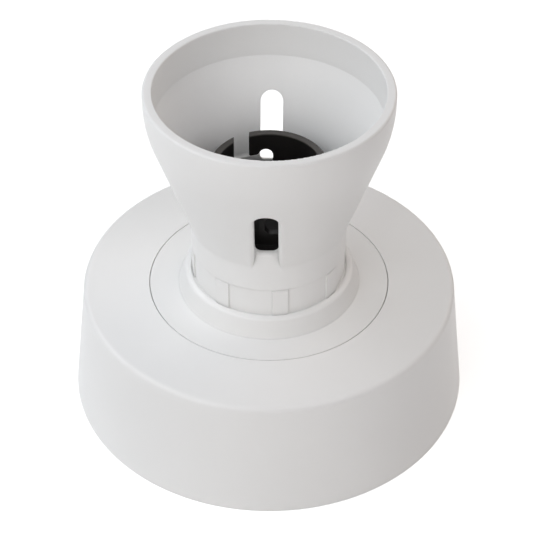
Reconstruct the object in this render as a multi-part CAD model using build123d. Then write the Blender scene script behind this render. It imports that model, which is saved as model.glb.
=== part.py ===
from build123d import *
import math
import os

# Batten lamp holder for a bayonet lamp (B22d), with a deep round base and a flared skirt.
# The base's back lies on z = 0 and the lamp goes in from +Z, along the Z axis.
# The skirt's two windows look along -Y and +Y. All sizes are in millimetres.

# Clearances
turn_gap = 0.3  # between pieces that turn or slip past each other
seam_gap = 0.15  # the fine lines round the collar disc and between the lock ring and the skirt
collar_gap = 0.2  # between the lock ring and the collar round it
guide_gap = 0.05  # a plunger in its hole
screw_gap = 0.1  # a screw's shank in its hole
pocket_gap = 0.2  # a terminal or a peg in its pocket

# Base cover
base_radius = 45.6
base_top_radius = 42.3
base_height = 28.4
cover_wall = 2.3
cover_top = 2.5
cover_edge_round = 1.2
cover_lip_wall = 1.5
cover_lip_depth = 3.0

# Seam between the cover and the collar disc: the cover's thin inner edge lies over the disc's flange
seam_edge = 0.7
seam_drop = 0.2
seam_overlap = 1.4
seam_edge_round = 0.1

# Cover's bayonet: pegs in the cover, slots in a rim on the mounting plate
peg_count = 3
peg_angle = 6.0
peg_height = 2.0
cover_twist = 12.0
peg_phase = 30.0
rim_wall = 1.7
rim_inset = 2.0
rim_height = 6.5
rim_roof = 1.8

# Mounting plate
plate_thickness = 3.0
plate_edge_round = 0.5
cable_hole_radius = 9.0
cable_ring_wall = 1.5
cable_ring_height = 1.5
fixing_centres = 66.0
fixing_slot_length = 10.0
fixing_slot_width = 4.6

# Collar disc
disc_radius = 27.2
disc_thickness = 2.5
collar_height = 4.5
collar_wall = 1.4
collar_draft = 1.6
collar_lip_round = 0.9
collar_inner_round = 0.35
collar_floor = 4.0
boss_radius = 3.6
boss_count = 3
boss_edge = 0.6
boss_phase = 90.0
key_width = 3.6
key_depth = 2.5

# Neck, shared by the lock ring and the skirt
neck_radius = 17.4
ring_length = 7.3
rib_count = 8
rib_angle = 11.8
rib_height = 0.35
rib_chamfer = 0.4
rib_phase = 10.0

# Skirt
neck_length = 6.3
neck_round = 3.7
skirt_length = 41.3
flare_rim_length = 7.17  # from the skirt's mouth down to where its cone would meet the rim's outside
flare_round = 29.0
skirt_rim_radius = 26.85
skirt_rim_wall = 2.15
skirt_rim_round = 0.6
skirt_rim_inner_round = 0.3
crease_depth = 8.2
skirt_thread_length = 11.75

# Skirt's windows
window_width = 5.1
window_sill = 10.4  # above the neck's lower end
window_height = 15.1
window_edge_round = 0.75
window_bottom_round = 1.25
window_sill_round = 1.0

# Barrel
thread_radius = 15.8
thread_end_gap = 2.5
barrel_bore_radius = 11.35
barrel_bore_length = 9.0
barrel_seat_radius = 11.15  # further in, round the lamp cap's end
barrel_wall = 1.5
barrel_reach = 35.0
bore_depth = 14.9
web_thickness = 3.0
cavity_radius = 13.6
flange_thickness = 2.9

# Bayonet slots in the barrel
slot_width = 3.3
slot_entry_x = 6.46
slot_seat_x = 1.1
slot_seat_radius = 1.65
slot_seat_depth = 4.13  # from the barrel's top to the top of the seat
slot_leg_depth = 5.5  # from the barrel's top to the leg's upper edge
slot_leg_height = 3.35
slot_corner_round = 0.6

# Contacts
plunger_spacing = 9.8
plunger_tip_radius = 2.0
plunger_shoulder_radius = 2.85
plunger_shoulder_height = 1.4
plunger_stem_radius = 1.0
plunger_stem_length = 4.5
plunger_stem_round = 0.5
plunger_tip_round = 1.4
plunger_reach = 5.5  # above the barrel's inner floor
plunger_top_gap = 0.1
carrier_length = 19.0
carrier_floor = 5.2
spring_radius = 2.1
spring_wire_radius = 0.25
spring_turns = 6
spring_end_gap = 0.05
strip_thickness = 0.8
strip_width = 5.0
tail_width = 3.6
pad_gap = 0.2

# Terminals
live_angle = 60.0
loop_angle = 120.0
neutral_angle = 240.0
earth_angle = 300.0
terminal_length = 7.0
terminal_width = 7.0
terminal_height = 8.0
terminal_corner_round = 0.7
wire_hole_radius = 1.7
wire_hole_drop = 5.0  # below the terminal's top
tower_wall = 1.6
tower_wall_height = 5.0
terminal_headroom = 0.4  # below the cover's lip
terminal_wall_gap = 0.8

# Screws
terminal_screw_radius = 1.75
terminal_head_radius = 2.6
terminal_head_height = 2.0
terminal_head_lift = 0.6
terminal_slot_angle = 15.0  # of the first screw's driver slot
terminal_slot_angle_step = 40.0  # from one screw's driver slot to the next
body_screw_radius = 1.6
body_screw_length = 14.0
body_head_radius = 3.2
body_head_sink = 0.3
carrier_screw_radius = 1.5
carrier_screw_circle = 8.6
carrier_screw_grip = 2.2
carrier_head_radius = 2.8
carrier_head_height = 2.0
driver_slot_width = 0.8
driver_slot_depth = 0.8

edge_reach = 0.1  # how near a surface an edge is counted as lying on it

# Worked-out heights, from the back up
cover_underside = base_height - cover_top
seam_underside = base_height - seam_edge
disc_underside = base_height - disc_thickness
collar_top = base_height + collar_height
collar_inner_floor = base_height + collar_floor
ring_top = collar_inner_floor + ring_length
skirt_bottom = ring_top + seam_gap
cone_start = skirt_bottom + neck_length
skirt_top = skirt_bottom + skirt_length
ledge_height = skirt_bottom + skirt_thread_length
sill_height = skirt_bottom + window_sill
window_top = sill_height + window_height
crease_height = skirt_top - crease_depth
thread_top = ledge_height - thread_end_gap
flange_bottom = disc_underside - flange_thickness
barrel_top = disc_underside + barrel_reach
bore_step = barrel_top - barrel_bore_length
bore_floor = barrel_top - bore_depth
web_underside = bore_floor - web_thickness
carrier_bottom = web_underside - carrier_length
strip_pad_top = carrier_bottom + carrier_floor + strip_thickness
lip_bottom = cover_underside - cover_lip_depth
terminal_head_top = lip_bottom - terminal_headroom
terminal_top = terminal_head_top - terminal_head_height - terminal_head_lift
tower_floor = terminal_top - terminal_height
strip_bottom = tower_floor - strip_thickness

# Worked-out radii
flare_corner_height = skirt_top - flare_rim_length
flare = math.atan2(skirt_rim_radius - neck_radius, flare_corner_height - cone_start)
cover_taper = math.atan2(base_radius - base_top_radius, base_height)
cover_hole_radius = disc_radius + seam_gap
disc_flange_radius = disc_radius + seam_overlap
cover_lip_inner = disc_flange_radius + turn_gap
cover_lip_radius = cover_lip_inner + cover_lip_wall
collar_inner_radius = neck_radius + collar_gap
collar_outer_radius = collar_inner_radius + collar_wall
neck_bore_radius = thread_radius + turn_gap
boss_circle = disc_radius - boss_radius - boss_edge
flange_radius = boss_circle - boss_radius - turn_gap
crease_radius = skirt_rim_radius - skirt_rim_wall
carrier_radius = cavity_radius - turn_gap
spring_bore_radius = plunger_shoulder_radius + guide_gap


def cover_inner_radius(height):
    """Inner radius of the base cover's tapered wall at a height."""
    outer = base_radius - height * math.tan(cover_taper)
    return outer - cover_wall / math.cos(cover_taper)


plate_radius = cover_inner_radius(plate_thickness) - turn_gap
rim_radius = plate_radius - rim_inset
rim_top = plate_thickness + rim_height
peg_top = rim_top - rim_roof - pocket_gap
peg_bottom = peg_top - peg_height
terminal_limit = min(rim_radius - rim_wall, cover_inner_radius(terminal_head_top))
terminal_circle = terminal_limit - terminal_wall_gap - terminal_length / 2
terminal_angles = {"live": live_angle, "loop": loop_angle, "neutral": neutral_angle, "earth": earth_angle}


def turned(corners, rounds=None, sweep=360.0):
    """Solid of revolution about Z. corners are (radius, height); rounds is {corner index: radius}."""
    outline = Polygon(*corners, align=None)
    for index, radius in (rounds or {}).items():
        at = Vector(*corners[index])
        nearest = min(outline.vertices(), key=lambda vertex: (Vector(*vertex) - at).length)
        outline = fillet(nearest, radius)
    return revolve(Plane.XZ * outline, Axis.Z, revolution_arc=sweep)


def upright(radius, bottom, top, x=0.0, y=0.0):
    """Upright cylinder between two heights."""
    low = (Align.CENTER, Align.CENTER, Align.MIN)
    return Pos(x, y, bottom) * Cylinder(radius, top - bottom, align=low)


def block(length, width, bottom, top, x=0.0, y=0.0, turn=0.0):
    """Upright block between two heights, turned about its own middle."""
    low = (Align.CENTER, Align.CENTER, Align.MIN)
    return Pos(x, y, bottom) * Rot(0, 0, turn) * Box(length, width, top - bottom, align=low)


def around(shape, count, phase=0.0):
    """Copies of a shape, evenly spaced about Z."""
    return [Rot(0, 0, phase + 360.0 * number / count) * shape for number in range(count)]


def on_circle(radius, angle):
    """x and y of a point on a circle about Z."""
    return radius * math.cos(math.radians(angle)), radius * math.sin(math.radians(angle))


def make_base_cover():
    wall_foot = cover_inner_radius(0)
    wall_head = cover_inner_radius(cover_underside)
    corners = [
        (wall_foot, 0),
        (base_radius, 0),
        (base_top_radius, base_height),
        (cover_hole_radius, base_height),
        (cover_hole_radius, seam_underside),
        (cover_lip_inner, seam_underside),
        (cover_lip_inner, lip_bottom),
        (cover_lip_radius, lip_bottom),
        (cover_lip_radius, cover_underside),
        (wall_head, cover_underside),
    ]
    cover = turned(corners, {2: cover_edge_round, 3: seam_edge_round, 9: cover_edge_round / 2})
    # Pegs reach from the wall into the rim's slots, which they nearly fill.
    peg_inner = rim_radius - rim_wall + pocket_gap
    peg_outer = cover_inner_radius(peg_top) + cover_wall / 2
    peg = turned([(peg_inner, peg_bottom), (peg_outer, peg_bottom), (peg_outer, peg_top), (peg_inner, peg_top)],
                 sweep=peg_angle)
    for copy in around(peg, peg_count, peg_phase - peg_angle / 2):
        cover += copy
    return cover


def rim_slot():
    """One L-shaped slot of the mounting plate's rim, for a peg that rests about the X axis."""
    inner = rim_radius - 2 * rim_wall
    outer = rim_radius + rim_wall
    bottom = peg_bottom - pocket_gap
    slack = math.degrees(pocket_gap / rim_radius)
    leg_top = peg_top + pocket_gap
    leg_sweep = cover_twist + peg_angle + 2 * slack
    entry_sweep = peg_angle + 2 * slack
    above = rim_top + rim_wall
    leg = turned([(inner, bottom), (outer, bottom), (outer, leg_top), (inner, leg_top)], sweep=leg_sweep)
    entry = turned([(inner, bottom), (outer, bottom), (outer, above), (inner, above)], sweep=entry_sweep)
    start = -peg_angle / 2 - slack
    return Rot(0, 0, start) * leg + Rot(0, 0, start + cover_twist) * entry


def make_mounting_plate():
    plate = turned(
        [(0, 0), (plate_radius, 0), (plate_radius, plate_thickness), (0, plate_thickness)],
        {1: plate_edge_round, 2: plate_edge_round},
    )
    rim_foot = plate_thickness - plate_edge_round
    rim = upright(rim_radius, rim_foot, rim_top) - upright(rim_radius - rim_wall, 0, rim_top)
    for slot in around(rim_slot(), peg_count, peg_phase):
        rim -= slot
    plate += rim
    # The floor under the terminals stands on towers with a cheek on each side of the brass block.
    cheek_gap = terminal_width + 2 * pocket_gap
    tower_width = cheek_gap + 2 * tower_wall
    tower_top = tower_floor + tower_wall_height
    for angle in terminal_angles.values():
        x, y = on_circle(terminal_circle, angle)
        plate += block(terminal_length, tower_width, 0, tower_top, x, y, angle)
        plate -= block(2 * terminal_length, cheek_gap, tower_floor, tower_top, x, y, angle)
    for name in ("live", "neutral"):
        plate -= strip_run(name, pocket_gap)
    # Cable entry with its raised ring
    cable_ring_top = plate_thickness + cable_ring_height
    plate += upright(cable_hole_radius + cable_ring_wall, 0, cable_ring_top)
    plate -= upright(cable_hole_radius, 0, cable_ring_top)
    # Two slots for the ceiling screws
    slot = extrude(SlotOverall(fixing_slot_length, fixing_slot_width), plate_thickness)
    for side in (-1, 1):
        plate -= Pos(side * fixing_centres / 2, 0, 0) * slot
    # Countersunk holes for the body screws
    hole = body_screw(screw_gap)
    for copy in around(hole, boss_count, boss_phase):
        plate -= copy
    return plate


def make_collar_disc():
    flange_top = seam_underside - seam_drop
    corners = [
        (neck_bore_radius, disc_underside),
        (disc_flange_radius, disc_underside),
        (disc_flange_radius, flange_top),
        (disc_radius, flange_top),
        (disc_radius, base_height),
        (collar_outer_radius + collar_draft, base_height),
        (collar_outer_radius, collar_top),
        (collar_inner_radius, collar_top),
        (collar_inner_radius, collar_inner_floor),
        (neck_bore_radius, collar_inner_floor),
    ]
    disc = turned(corners, {4: seam_edge_round, 6: collar_lip_round, 7: collar_inner_round})
    boss = upright(boss_radius, plate_thickness, disc_underside, boss_circle)
    for copy in around(boss, boss_count, boss_phase):
        disc += copy
    # Two keys hold the barrel's flange from turning.
    key_inner = thread_radius + flange_thickness / 2
    key_outer = flange_radius + turn_gap
    key = block(key_outer - key_inner, key_width, disc_underside - key_depth, disc_underside,
                (key_inner + key_outer) / 2)
    for copy in around(key, 2):
        disc += copy
    for copy in around(body_screw(screw_gap), boss_count, boss_phase):
        disc -= copy
    return disc


def make_lock_ring():
    panel_radius = neck_radius - rib_height
    ring = turned([
        (neck_bore_radius, collar_inner_floor),
        (panel_radius, collar_inner_floor),
        (panel_radius, ring_top),
        (neck_bore_radius, ring_top),
    ])
    root = (neck_bore_radius + panel_radius) / 2
    rib = turned([
        (root, collar_inner_floor),
        (neck_radius, collar_inner_floor),
        (neck_radius, ring_top - rib_chamfer),
        (panel_radius, ring_top),
        (root, ring_top),
    ], sweep=rib_angle)
    # The phase is counted from -Y towards +X.
    for copy in around(rib, rib_count, rib_phase - 90.0 - rib_angle / 2):
        ring += copy
    return ring


def skirt_radius(height):
    """Outer radius of the skirt at a height, below the round that leads into its rim."""
    return neck_radius + max(0, height - cone_start) * math.tan(flare)


def mouth_edges(piece, outer_radius):
    """A window's edges on the outer surface, whose radius at a height is given by a function."""
    found = []
    for edge in piece.edges():
        middle = edge @ 0.5
        off_surface = abs(math.hypot(middle.X, middle.Y) - outer_radius(middle.Z))
        if abs(middle.X) < window_width / 2 + edge_reach and off_surface < edge_reach:
            found.append(edge)
    return found


def make_bell():
    """The skirt's outer form, solid, with both windows cut down to its foot and their edges rounded."""
    bell = turned([
        (0, skirt_bottom),
        (neck_radius, skirt_bottom),
        (neck_radius, cone_start),
        (skirt_rim_radius, flare_corner_height),
        (skirt_rim_radius, skirt_top),
        (0, skirt_top),
    ], {2: neck_round, 3: flare_round, 4: skirt_rim_round})
    arch_height = window_top - window_width / 2
    window = Pos(0, arch_height / 2) * Rectangle(window_width, arch_height)
    window += Pos(0, arch_height) * Circle(window_width / 2)
    bell -= extrude(Plane.XZ * window, skirt_rim_radius, both=True)
    return fillet(mouth_edges(bell, skirt_radius), window_edge_round)


def make_neck():
    """What fills the windows again up to their sills, solid and as wide as the skirt's neck."""
    neck = upright(neck_radius, skirt_bottom, window_top)
    notch = Pos(0, (sill_height + window_top) / 2) * Rectangle(window_width, window_height)
    notch = fillet(notch.vertices().sort_by(Axis.Y)[:2], window_bottom_round)
    neck -= extrude(Plane.XZ * notch, skirt_rim_radius, both=True)
    return fillet(mouth_edges(neck, lambda height: neck_radius), window_sill_round)


def make_skirt():
    ledge_radius = crease_radius - (crease_height - ledge_height) * math.tan(flare)
    hollow = turned([
        (0, skirt_bottom),
        (neck_bore_radius, skirt_bottom),
        (neck_bore_radius, ledge_height),
        (ledge_radius, ledge_height),
        (crease_radius, crease_height),
        (crease_radius, skirt_top),
        (0, skirt_top),
    ])
    skirt = make_bell() + make_neck() - hollow
    mouth = [edge for edge in skirt.edges().filter_by(GeomType.CIRCLE)
             if abs((edge @ 0.5).Z - skirt_top) < edge_reach and abs(edge.radius - crease_radius) < edge_reach]
    return fillet(mouth, skirt_rim_inner_round)


def bayonet_slot():
    """One J-shaped slot, as cut through the barrel's wall at -Y."""
    leg_top = barrel_top - slot_leg_depth
    leg_bottom = leg_top - slot_leg_height
    foot_height = leg_bottom + slot_seat_radius
    seat_height = barrel_top - slot_seat_depth - slot_seat_radius
    above = barrel_top + slot_width
    entry = Pos(slot_entry_x, (leg_bottom + above) / 2) * Rectangle(slot_width, above - leg_bottom)
    leg = Pos((slot_seat_x + slot_entry_x) / 2, (leg_bottom + leg_top) / 2) * Rectangle(
        slot_entry_x - slot_seat_x, slot_leg_height)
    seat = Pos(slot_seat_x, (foot_height + seat_height) / 2) * Rot(0, 0, 90) * SlotCenterToCenter(
        seat_height - foot_height, 2 * slot_seat_radius)
    outline = entry + leg + seat
    # The bump between the seat and the entry has round corners, as has the entry's foot.
    bump = outline.vertices().filter_by_position(Axis.Y, leg_top - edge_reach, leg_top + edge_reach)
    foot = outline.vertices().filter_by_position(Axis.Y, leg_bottom - edge_reach, leg_bottom + edge_reach)
    outline = fillet(bump + foot.sort_by(Axis.X)[-1:], slot_corner_round)
    return extrude(Plane.XZ * outline, 2 * thread_radius)


def make_barrel():
    tube_radius = barrel_bore_radius + barrel_wall
    outside = [
        (0, flange_bottom),
        (flange_radius, flange_bottom),
        (flange_radius, disc_underside),
        (thread_radius, disc_underside),
        (thread_radius, thread_top),
        (tube_radius, thread_top),
        (tube_radius, barrel_top),
        (0, barrel_top),
    ]
    barrel = turned(outside, {2: seam_edge_round, 4: seam_edge_round})
    barrel -= upright(barrel_bore_radius, bore_step, barrel_top)
    barrel -= upright(barrel_seat_radius, bore_floor, barrel_top)
    barrel -= upright(cavity_radius, flange_bottom, web_underside)
    for slot in around(bayonet_slot(), 2):
        barrel -= slot
    # Notches for the collar disc's two keys
    notch_inner = thread_radius + flange_thickness / 2 - pocket_gap
    notch_outer = flange_radius + turn_gap
    notch = block(notch_outer - notch_inner, key_width + 2 * pocket_gap, flange_bottom, disc_underside,
                  (notch_inner + notch_outer) / 2)
    for copy in around(notch, 2):
        barrel -= copy
    # Plunger holes through the web, and blind holes for the carrier's screws
    for side in (-1, 1):
        barrel -= upright(plunger_tip_radius + guide_gap, web_underside, bore_floor, side * plunger_spacing / 2)
        barrel -= upright(carrier_screw_radius + screw_gap, web_underside,
                          web_underside + carrier_screw_grip + screw_gap, 0, side * carrier_screw_circle)
    return barrel


def make_contact_carrier():
    carrier = upright(carrier_radius, carrier_bottom, web_underside)
    for side in (-1, 1):
        x = side * plunger_spacing / 2
        carrier -= upright(spring_bore_radius, carrier_bottom + carrier_floor, web_underside, x)
        carrier -= upright(carrier_screw_radius + screw_gap, carrier_bottom, web_underside,
                           0, side * carrier_screw_circle)
    for name in ("live", "neutral"):
        x, angle, _ = strip_route(name)
        carrier -= block(strip_thickness + 2 * screw_gap, tail_width + 2 * screw_gap, carrier_bottom,
                         carrier_bottom + carrier_floor, x, 0, angle)
    return carrier


def plunger_place(name):
    """x of the plunger that a terminal's name belongs to."""
    return plunger_spacing / 2 if name == "live" else -plunger_spacing / 2


def make_plunger(name):
    x = plunger_place(name)
    shoulder_top = web_underside - plunger_top_gap
    shoulder_bottom = shoulder_top - plunger_shoulder_height
    tip_top = bore_floor + plunger_reach
    stem_bottom = shoulder_bottom - plunger_stem_length
    corners = [
        (0, stem_bottom),
        (plunger_stem_radius, stem_bottom),
        (plunger_stem_radius, shoulder_bottom),
        (plunger_shoulder_radius, shoulder_bottom),
        (plunger_shoulder_radius, shoulder_top),
        (plunger_tip_radius, shoulder_top),
        (plunger_tip_radius, tip_top),
        (0, tip_top),
    ]
    return Pos(x, 0, 0) * turned(corners, {1: plunger_stem_round, 6: plunger_tip_round})


def make_spring(name):
    shoulder_bottom = web_underside - plunger_top_gap - plunger_shoulder_height
    bottom = strip_pad_top + spring_wire_radius + spring_end_gap
    height = shoulder_bottom - spring_wire_radius - spring_end_gap - bottom
    path = Helix(height / spring_turns, height, spring_radius)
    section = Plane(origin=path @ 0, z_dir=path % 0) * Circle(spring_wire_radius)
    return Pos(plunger_place(name), 0, bottom) * sweep(section, path)


def strip_route(name):
    """Where a contact strip leaves the carrier, its direction and its length to the terminal."""
    start = plunger_place(name)
    end_x, end_y = on_circle(terminal_circle, terminal_angles[name])
    angle = math.degrees(math.atan2(end_y, end_x - start))
    return start, angle, math.hypot(end_x - start, end_y)


def strip_run(name, gap=0.0):
    """The flat, level run of a contact strip, from under its plunger to under its terminal."""
    start, angle, length = strip_route(name)
    step_x, step_y = on_circle(length / 2, angle)
    return block(length + strip_thickness + 2 * gap, strip_width + 2 * gap, strip_bottom, tower_floor,
                 start + step_x, step_y, angle)


def make_contact_strip(name):
    start, angle, _ = strip_route(name)
    pad = upright(spring_bore_radius - pad_gap, strip_pad_top - strip_thickness, strip_pad_top, start)
    tail = block(strip_thickness, tail_width, strip_bottom, strip_pad_top, start, 0, angle)
    return pad + tail + strip_run(name)


def make_terminal(name):
    x, y = on_circle(terminal_circle, terminal_angles[name])
    turn = Pos(x, y, 0) * Rot(0, 0, terminal_angles[name])
    body = block(terminal_length, terminal_width, tower_floor, terminal_top)
    body = fillet(body.edges().filter_by(Axis.Z), terminal_corner_round)
    wire_hole = Pos(0, 0, terminal_top - wire_hole_drop) * Rot(0, 90, 0) * Cylinder(
        wire_hole_radius, 2 * terminal_length)
    body -= wire_hole
    body -= upright(terminal_screw_radius + screw_gap, terminal_top - wire_hole_drop, terminal_top)
    return turn * body


def slotted_head(radius, bottom, top):
    """Cheese head with a driver slot in its upper face."""
    head = upright(radius, bottom, top)
    return head - block(3 * radius, driver_slot_width, top - driver_slot_depth, top)


def make_terminal_screws():
    head_bottom = terminal_top + terminal_head_lift
    tip = terminal_top - wire_hole_drop + wire_hole_radius / 2
    screw = upright(terminal_screw_radius, tip, head_bottom)
    screw += slotted_head(terminal_head_radius, head_bottom, head_bottom + terminal_head_height)
    places = [on_circle(terminal_circle, angle) for angle in terminal_angles.values()]
    turns = [terminal_slot_angle + terminal_slot_angle_step * number for number in range(len(places))]
    return Compound(children=[Pos(x, y, 0) * Rot(0, 0, turn) * screw for turn, (x, y) in zip(turns, places)])


def body_screw(gap=0.0):
    """Countersunk screw, standing at the boss circle on +X. With a gap it is the hole for that screw."""
    cone_top = body_head_sink + body_head_radius - body_screw_radius
    corners = [
        (0, body_head_sink),
        (body_head_radius + gap, body_head_sink),
        (body_screw_radius + gap, cone_top),
        (body_screw_radius + gap, body_screw_length + gap),
        (0, body_screw_length + gap),
    ]
    screw = turned(corners)
    if gap:
        screw += upright(body_head_radius + gap, 0, body_head_sink)
    return Pos(boss_circle, 0, 0) * screw


def make_body_screws():
    slot = block(3 * body_head_radius, driver_slot_width, body_head_sink,
                 body_head_sink + driver_slot_depth, boss_circle)
    return Compound(children=around(body_screw() - slot, boss_count, boss_phase))


def make_carrier_screws():
    screw = upright(carrier_screw_radius, carrier_bottom - carrier_head_height,
                    web_underside + carrier_screw_grip, 0, carrier_screw_circle)
    head = upright(carrier_head_radius, carrier_bottom - carrier_head_height, carrier_bottom,
                   0, carrier_screw_circle)
    head_bottom = carrier_bottom - carrier_head_height
    slot = block(3 * carrier_head_radius, driver_slot_width, head_bottom, head_bottom + driver_slot_depth,
                 0, carrier_screw_circle)
    return Compound(children=around(screw + head - slot, 2))


def main():
    pieces = {
        "mounting_plate": make_mounting_plate(),
        "base_cover": make_base_cover(),
        "collar_disc": make_collar_disc(),
        "lock_ring": make_lock_ring(),
        "skirt": make_skirt(),
        "barrel": make_barrel(),
        "contact_carrier": make_contact_carrier(),
        "terminal_screws": make_terminal_screws(),
        "body_screws": make_body_screws(),
        "carrier_screws": make_carrier_screws(),
    }
    for name in ("live", "neutral"):
        pieces[name + "_plunger"] = make_plunger(name)
        pieces[name + "_spring"] = make_spring(name)
        pieces[name + "_contact_strip"] = make_contact_strip(name)
    for name in terminal_angles:
        pieces[name + "_terminal"] = make_terminal(name)
    os.makedirs("parts", exist_ok=True)
    for name, piece in pieces.items():
        export_step(piece, f"parts/{name}.step")


main()
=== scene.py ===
import math

import bpy
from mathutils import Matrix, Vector


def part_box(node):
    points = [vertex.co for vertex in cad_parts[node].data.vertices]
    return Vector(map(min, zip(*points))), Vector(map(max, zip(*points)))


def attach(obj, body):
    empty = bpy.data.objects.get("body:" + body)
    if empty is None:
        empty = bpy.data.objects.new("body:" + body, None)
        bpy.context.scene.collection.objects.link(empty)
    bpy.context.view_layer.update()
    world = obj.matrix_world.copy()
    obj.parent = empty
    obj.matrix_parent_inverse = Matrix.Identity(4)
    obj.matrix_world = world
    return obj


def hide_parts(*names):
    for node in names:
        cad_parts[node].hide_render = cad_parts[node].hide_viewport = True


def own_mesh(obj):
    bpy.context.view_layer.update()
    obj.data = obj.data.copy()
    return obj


# A batten lamp holder, seen from above and in front on a white ground, as in the photograph.
# All lengths are in metres, in the CAD part's own frame.

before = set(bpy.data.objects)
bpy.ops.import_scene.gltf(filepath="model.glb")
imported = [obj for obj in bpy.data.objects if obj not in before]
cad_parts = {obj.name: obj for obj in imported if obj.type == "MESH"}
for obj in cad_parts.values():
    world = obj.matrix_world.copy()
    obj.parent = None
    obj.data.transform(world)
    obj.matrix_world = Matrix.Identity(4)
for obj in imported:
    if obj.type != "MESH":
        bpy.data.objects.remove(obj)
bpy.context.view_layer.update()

# Camera, as measured from the photograph: its place, its angles in degrees and its lens in millimetres
camera_x = 0.00854
camera_y = -0.3057
camera_z = 0.2958
camera_pitch = 40.80
camera_yaw = 1.747
camera_roll = -0.05
focal_length = 119.7
sensor_width = 36.0
nearest_seen = 0.01
farthest_seen = 20.0

# Light: square lamps round the object, each with its place, size, watts and colour
lamps = {
    "left": ((-0.42, 0.00, 0.40), 0.4, 0.97, (0.95, 0.96, 1.00)),
    "back_left": ((-0.30, 0.35, 0.45), 0.4, 0.77, (0.91, 0.95, 1.00)),
    "front_left": ((-0.25, -0.40, 0.45), 0.4, 1.18, (0.91, 0.96, 1.00)),
    "back_right": ((0.30, 0.30, 0.30), 0.3, 0.58, (1.00, 0.89, 0.80)),
    "front_right": ((0.30, -0.40, 0.45), 0.4, 0.90, (1.00, 0.96, 0.98)),
    "front_low": ((-0.10, -0.55, 0.25), 0.5, 0.37, (1.00, 0.84, 0.68)),
}
lamp_target = (0.0, 0.0, 0.04)

# White ground
floor_reach = 3.0  # from the middle to each side
floor_white = (0.85, 0.85, 0.85, 1.0)
floor_glow = 0.60  # near the object, where the lamps light the floor
far_glow = 1.0  # beyond the lamps' reach, so that the floor is white up to the horizon
glow_start = 0.35
glow_end = 1.00
background_white = (1.0, 1.0, 1.0, 1.0)
background_glow = 1.0

# Plastic surfaces
skin_scale = 900.0
skin_detail = 3.0
skin_grain = 0.00002  # height of the orange-peel skin
skin_strength = 0.25
edge_softness = 0.00025  # radius at which moulded edges catch the light
edge_samples = 4
patch_scale = 40.0  # wide patches of slightly different colour and gloss
patch_detail = 4.0
patch_tone = 0.965
patch_gloss = 0.04
crevice_shade_reach = 0.0005  # how far from a neighbouring face painted shade darkens the plastic
crevice_shade_tone = 0.80  # tone of the painted shade in a closed crevice, against 1 in the open
crevice_samples = 8
inner_shade_reach = 0.0036  # painted shade inside the skirt, wider and deeper, where the black barrel stands close; its reach here and its tone on the next line
inner_shade_tone = 0.22
white_roughness = 0.42
plate_roughness = 0.55
black_roughness = 0.45
black_sheen = 0.25
lit_rim_start = 0.0004  # depth below the barrel's top at which the painted light on its rim begins
lit_rim_full = 0.0001  # depth at which the painted light on the rim is lightest

# Metal surfaces
scratch_scale = 350.0
scratch_detail = 5.0
tarnish_tone = 0.75
polished_gloss = 0.08  # how much smoother the metal is between the scratches
scratched_gloss = 0.12  # how much rougher it is in them
plunger_roughness = 0.28
strip_roughness = 0.34
terminal_roughness = 0.36
spring_roughness = 0.30
screw_roughness = 0.34

# Colours
white_plastic = (0.95, 0.95, 0.94, 1.0)
disc_white = (0.92, 0.92, 0.91, 1.0)
plate_white = (0.74, 0.74, 0.72, 1.0)
black_plastic = (0.013, 0.012, 0.012, 1.0)
# painted light: the lighter tone of the barrel's rim top, as if lit from above
rim_light_black = (0.085, 0.079, 0.074, 1.0)
brass = (0.72, 0.52, 0.22, 1.0)
steel = (0.60, 0.60, 0.61, 1.0)

# Contact springs
spring_turns = 6
spring_wire_radius = 0.00025
spring_steps = 36  # per turn
spring_sides = 12


def new_material(name):
    """A material with its shader and the node tree's two lists."""
    material = bpy.data.materials.new(name)
    material.use_nodes = True
    nodes = material.node_tree.nodes
    return material, nodes, material.node_tree.links, nodes["Principled BSDF"]


def toned(colour, tone):
    """A colour made darker by a tone below 1."""
    red, green, blue, alpha = colour
    return (tone * red, tone * green, tone * blue, alpha)


def position(nodes):
    """The place of the point that is being shaded."""
    return nodes.new("ShaderNodeNewGeometry").outputs["Position"]


def noise(nodes, links, scale, detail):
    """An uneven pattern between 0 and 1."""
    texture = nodes.new("ShaderNodeTexNoise")
    texture.inputs["Scale"].default_value = scale
    texture.inputs["Detail"].default_value = detail
    links.new(position(nodes), texture.inputs["Vector"])
    return texture.outputs["Fac"]


def feed(links, value, target):
    """Sets an input to a colour, or links another node's output to it."""
    if isinstance(value, tuple):
        target.default_value = value
    else:
        links.new(value, target)


def blend(nodes, links, share, first, second):
    """The first colour where the share is 0, the second where it is 1, and a mixture between."""
    mix = nodes.new("ShaderNodeMix")
    mix.data_type = "RGBA"
    links.new(share, mix.inputs["Factor"])
    feed(links, first, mix.inputs["A"])
    feed(links, second, mix.inputs["B"])
    return mix.outputs["Result"]


def ramp(nodes, links, value, start, end, low, high):
    """Rises evenly from low to high while the value goes from start to end."""
    rise = nodes.new("ShaderNodeMapRange")
    rise.inputs["From Min"].default_value = start
    rise.inputs["From Max"].default_value = end
    rise.inputs["To Min"].default_value = low
    rise.inputs["To Max"].default_value = high
    links.new(value, rise.inputs["Value"])
    return rise.outputs["Result"]


def moulded_skin(nodes, links):
    """A faint orange-peel skin, on edges that look slightly rounded."""
    edge = nodes.new("ShaderNodeBevel")
    edge.samples = edge_samples
    edge.inputs["Radius"].default_value = edge_softness
    bump = nodes.new("ShaderNodeBump")
    bump.inputs["Strength"].default_value = skin_strength
    bump.inputs["Distance"].default_value = skin_grain
    links.new(edge.outputs["Normal"], bump.inputs["Normal"])
    links.new(noise(nodes, links, skin_scale, skin_detail), bump.inputs["Height"])
    return bump.outputs["Normal"]


def crevice_shade_mask(nodes, reach):
    """1 in the open, and 0 where other faces close a point in within the reach; the mask of the painted
    crevice shade.
    """
    crevice = nodes.new("ShaderNodeAmbientOcclusion")
    crevice.samples = crevice_samples
    crevice.inputs["Distance"].default_value = reach
    return crevice.outputs["AO"]


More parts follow.
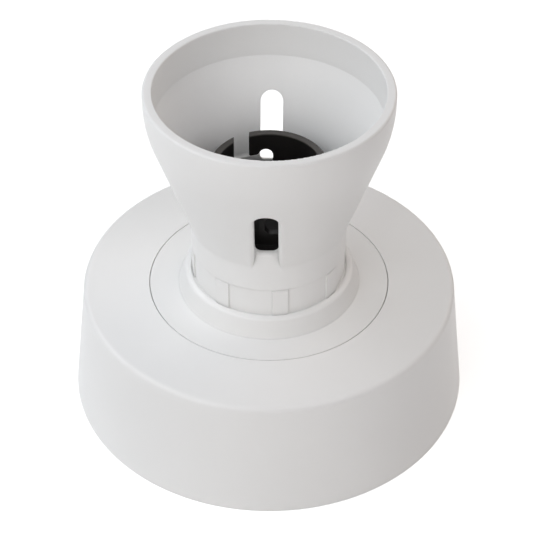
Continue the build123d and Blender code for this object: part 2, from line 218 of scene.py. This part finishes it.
def plastic(name, colour, roughness, reach=crevice_shade_reach, painted_shade_tone=crevice_shade_tone):
    """Moulded plastic: a fine skin, soft edges, painted shade in crevices, slight changes of colour and
    gloss.
    """
    material, nodes, links, shader = new_material(name)
    patches = noise(nodes, links, patch_scale, patch_detail)
    tint = blend(nodes, links, patches, colour, toned(colour, patch_tone))
    # painted shade: the colour darkens where neighbouring faces close the point in
    shade = blend(nodes, links, crevice_shade_mask(nodes, reach), toned(colour, painted_shade_tone), tint)
    gloss = ramp(nodes, links, patches, 0.0, 1.0, roughness - patch_gloss, roughness + patch_gloss)
    links.new(moulded_skin(nodes, links), shader.inputs["Normal"])
    links.new(shade, shader.inputs["Base Color"])
    links.new(gloss, shader.inputs["Roughness"])
    return material


def black_moulding(name):
    """Black plastic, with less sheen than the white and painted light on the top of the barrel's rim."""
    material = plastic(name, black_plastic, black_roughness)
    nodes = material.node_tree.nodes
    links = material.node_tree.links
    shader = nodes["Principled BSDF"]
    shader.inputs["Specular IOR Level"].default_value = black_sheen
    parts = nodes.new("ShaderNodeSeparateXYZ")
    links.new(position(nodes), parts.inputs["Vector"])
    top = max(corner.co.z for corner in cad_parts["barrel"].data.vertices)
    # painted light on the top of the barrel's rim
    rim = ramp(nodes, links, parts.outputs["Z"], top - lit_rim_start, top - lit_rim_full, 0.0, 1.0)
    body = shader.inputs["Base Color"].links[0].from_socket
    links.new(blend(nodes, links, rim, body, rim_light_black), shader.inputs["Base Color"])
    return material


def metal(name, colour, roughness):
    """Bare metal with fine scratches and a little tarnish."""
    material, nodes, links, shader = new_material(name)
    shader.inputs["Metallic"].default_value = 1.0
    scratches = noise(nodes, links, scratch_scale, scratch_detail)
    tint = blend(nodes, links, scratches, colour, toned(colour, tarnish_tone))
    smooth = roughness - polished_gloss
    rough = roughness + scratched_gloss
    links.new(tint, shader.inputs["Base Color"])
    links.new(ramp(nodes, links, scratches, 0.0, 1.0, smooth, rough), shader.inputs["Roughness"])
    return material


def dress(names, material):
    """Gives CAD nodes a material."""
    for name in names:
        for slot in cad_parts[name].material_slots:
            slot.material = material


def wire_ring(middle, out):
    """The corners of one round section of the spring's wire."""
    upward = Vector((0.0, 0.0, 1.0))
    ring = []
    for corner in range(spring_sides):
        angle = 2 * math.pi * corner / spring_sides
        ring.append(middle + spring_wire_radius * (out * math.cos(angle) + upward * math.sin(angle)))
    return ring


def wire_faces(sections):
    """Two round ends, and the wire's skin from each section to the next."""
    last = (sections - 1) * spring_sides
    faces = [tuple(range(spring_sides)), tuple(reversed(range(last, last + spring_sides)))]
    for start in range(0, last, spring_sides):
        after = start + spring_sides
        for corner in range(spring_sides):
            beside = (corner + 1) % spring_sides
            faces.append((start + corner, after + corner, after + beside, start + beside))
    return faces


def coil_mesh(name, foot, radius, height):
    """A wire wound upwards round the line over its foot."""
    rise = Vector((0.0, 0.0, height))
    steps = spring_turns * spring_steps
    corners = []
    for step in range(steps + 1):
        turned = 2 * math.pi * step / spring_steps
        out = Vector((math.cos(turned), math.sin(turned), 0.0))
        corners += wire_ring(foot + rise * step / steps + out * radius, out)
    mesh = bpy.data.meshes.new(name)
    mesh.from_pydata(corners, [], wire_faces(steps + 1))
    mesh.polygons.foreach_set("use_smooth", [True] * len(mesh.polygons))
    return mesh


def make_spring(side, material):
    """A coil in the place of the frame's rigid spring."""
    node = side + "_spring"
    low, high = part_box(node)
    height = high.z - low.z
    centre = Vector(((low.x + high.x) / 2, 0.0, low.z + spring_wire_radius))
    radius = (high.y - low.y) / 2 - spring_wire_radius
    mesh = coil_mesh(side + "_coil", centre, radius, height - 2 * spring_wire_radius)
    mesh.materials.append(material)
    coil = bpy.data.objects.new(side + "_coil", mesh)
    bpy.context.scene.collection.objects.link(coil)
    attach(coil, "base")
    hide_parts(node)
    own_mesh(coil)


def make_camera():
    """The photograph's camera, above the object and in front of it."""
    data = bpy.data.cameras.new("photo_camera")
    data.lens = focal_length
    data.sensor_width = sensor_width
    data.clip_start = nearest_seen
    data.clip_end = farthest_seen
    camera = bpy.data.objects.new("photo_camera", data)
    camera.location = (camera_x, camera_y, camera_z)
    camera.rotation_mode = "XYZ"
    camera.rotation_euler = (
        math.radians(90.0 - camera_pitch),
        math.radians(camera_roll),
        math.radians(camera_yaw),
    )
    bpy.context.scene.collection.objects.link(camera)
    bpy.context.scene.camera = camera


def camera_or_glossy(nodes, links):
    """1 where the camera looks or something mirrors it, and 0 for the light that falls on the object."""
    path = nodes.new("ShaderNodeLightPath")
    seen = nodes.new("ShaderNodeMath")
    seen.operation = "ADD"
    seen.use_clamp = True
    links.new(path.outputs["Is Camera Ray"], seen.inputs[0])
    links.new(path.outputs["Is Glossy Ray"], seen.inputs[1])
    return seen.outputs["Value"]


def floor_glow_shader(nodes, links):
    """A glow that grows with the distance from the object, and that only the camera and reflections see."""
    away = nodes.new("ShaderNodeVectorMath")
    away.operation = "LENGTH"
    links.new(position(nodes), away.inputs[0])
    strength = ramp(nodes, links, away.outputs["Value"], glow_start, glow_end, floor_glow, far_glow)
    glow = nodes.new("ShaderNodeEmission")
    links.new(strength, glow.inputs["Strength"])
    dark = nodes.new("ShaderNodeEmission")
    dark.inputs["Strength"].default_value = 0.0
    shown = nodes.new("ShaderNodeMixShader")
    links.new(camera_or_glossy(nodes, links), shown.inputs["Fac"])
    links.new(dark.outputs["Emission"], shown.inputs[1])
    links.new(glow.outputs["Emission"], shown.inputs[2])
    return shown.outputs["Shader"]


def floor_material():
    """Matt white with a glow, so that the floor is white and still shows the object's shadow."""
    material, nodes, links, shader = new_material("floor_white")
    shader.inputs["Base Color"].default_value = floor_white
    shader.inputs["Roughness"].default_value = 1.0
    both = nodes.new("ShaderNodeAddShader")
    links.new(shader.outputs["BSDF"], both.inputs[0])
    links.new(floor_glow_shader(nodes, links), both.inputs[1])
    links.new(both.outputs["Shader"], nodes["Material Output"].inputs["Surface"])
    return material


def make_floor():
    """A wide white floor under the object."""
    near = -floor_reach
    far = floor_reach
    mesh = bpy.data.meshes.new("floor")
    corners = [(near, near, 0.0), (far, near, 0.0), (far, far, 0.0), (near, far, 0.0)]
    mesh.from_pydata(corners, [], [(0, 1, 2, 3)])
    mesh.materials.append(floor_material())
    floor = bpy.data.objects.new("floor", mesh)
    bpy.context.scene.collection.objects.link(floor)


def make_background():
    """Plain white to the camera and in reflections, and no light of its own on the object."""
    world = bpy.data.worlds.new("studio")
    bpy.context.scene.world = world
    world.use_nodes = True
    nodes = world.node_tree.nodes
    links = world.node_tree.links
    dark = nodes["Background"]
    dark.inputs["Strength"].default_value = 0.0
    white = nodes.new("ShaderNodeBackground")
    white.inputs["Color"].default_value = background_white
    white.inputs["Strength"].default_value = background_glow
    mix = nodes.new("ShaderNodeMixShader")
    links.new(camera_or_glossy(nodes, links), mix.inputs["Fac"])
    links.new(dark.outputs["Background"], mix.inputs[1])
    links.new(white.outputs["Background"], mix.inputs[2])
    links.new(mix.outputs["Shader"], nodes["World Output"].inputs["Surface"])


def make_lamp(name, place, size, watts, colour):
    """A square lamp near the object, turned towards it."""
    data = bpy.data.lights.new(name, "AREA")
    data.shape = "SQUARE"
    data.size = size
    data.energy = watts
    data.color = colour
    lamp = bpy.data.objects.new(name, data)
    lamp.location = place
    lamp.rotation_mode = "QUATERNION"
    lamp.rotation_quaternion = (Vector(lamp_target) - Vector(place)).to_track_quat("-Z", "Y")
    bpy.context.scene.collection.objects.link(lamp)


strips = ("live_contact_strip", "neutral_contact_strip")
terminals = ("live_terminal", "loop_terminal", "neutral_terminal", "earth_terminal")
screws = ("terminal_screws", "body_screws", "carrier_screws")
dress(("base_cover", "lock_ring"), plastic("cover_plastic", white_plastic, white_roughness))
dress(("collar_disc",), plastic("disc_plastic", disc_white, white_roughness))
# the skirt gets deeper painted shade inside, next to the barrel
dress(("skirt",), plastic("skirt_plastic", white_plastic, white_roughness, inner_shade_reach, inner_shade_tone))
dress(("mounting_plate",), plastic("plate_plastic", plate_white, plate_roughness))
dress(("barrel", "contact_carrier"), black_moulding("black_plastic"))
dress(("live_plunger", "neutral_plunger"), metal("plunger_brass", brass, plunger_roughness))
dress(strips, metal("strip_brass", brass, strip_roughness))
dress(terminals, metal("terminal_brass", brass, terminal_roughness))
spring_steel = metal("spring_steel", steel, spring_roughness)
dress(("live_spring", "neutral_spring"), spring_steel)
dress(screws, metal("zinc_steel", steel, screw_roughness))

make_spring("live", spring_steel)
make_spring("neutral", spring_steel)
make_camera()
make_floor()
make_background()
for name, (place, size, watts, colour) in lamps.items():
    make_lamp("lamp_" + name, place, size, watts, colour)
bpy.context.scene.view_settings.view_transform = "Standard"
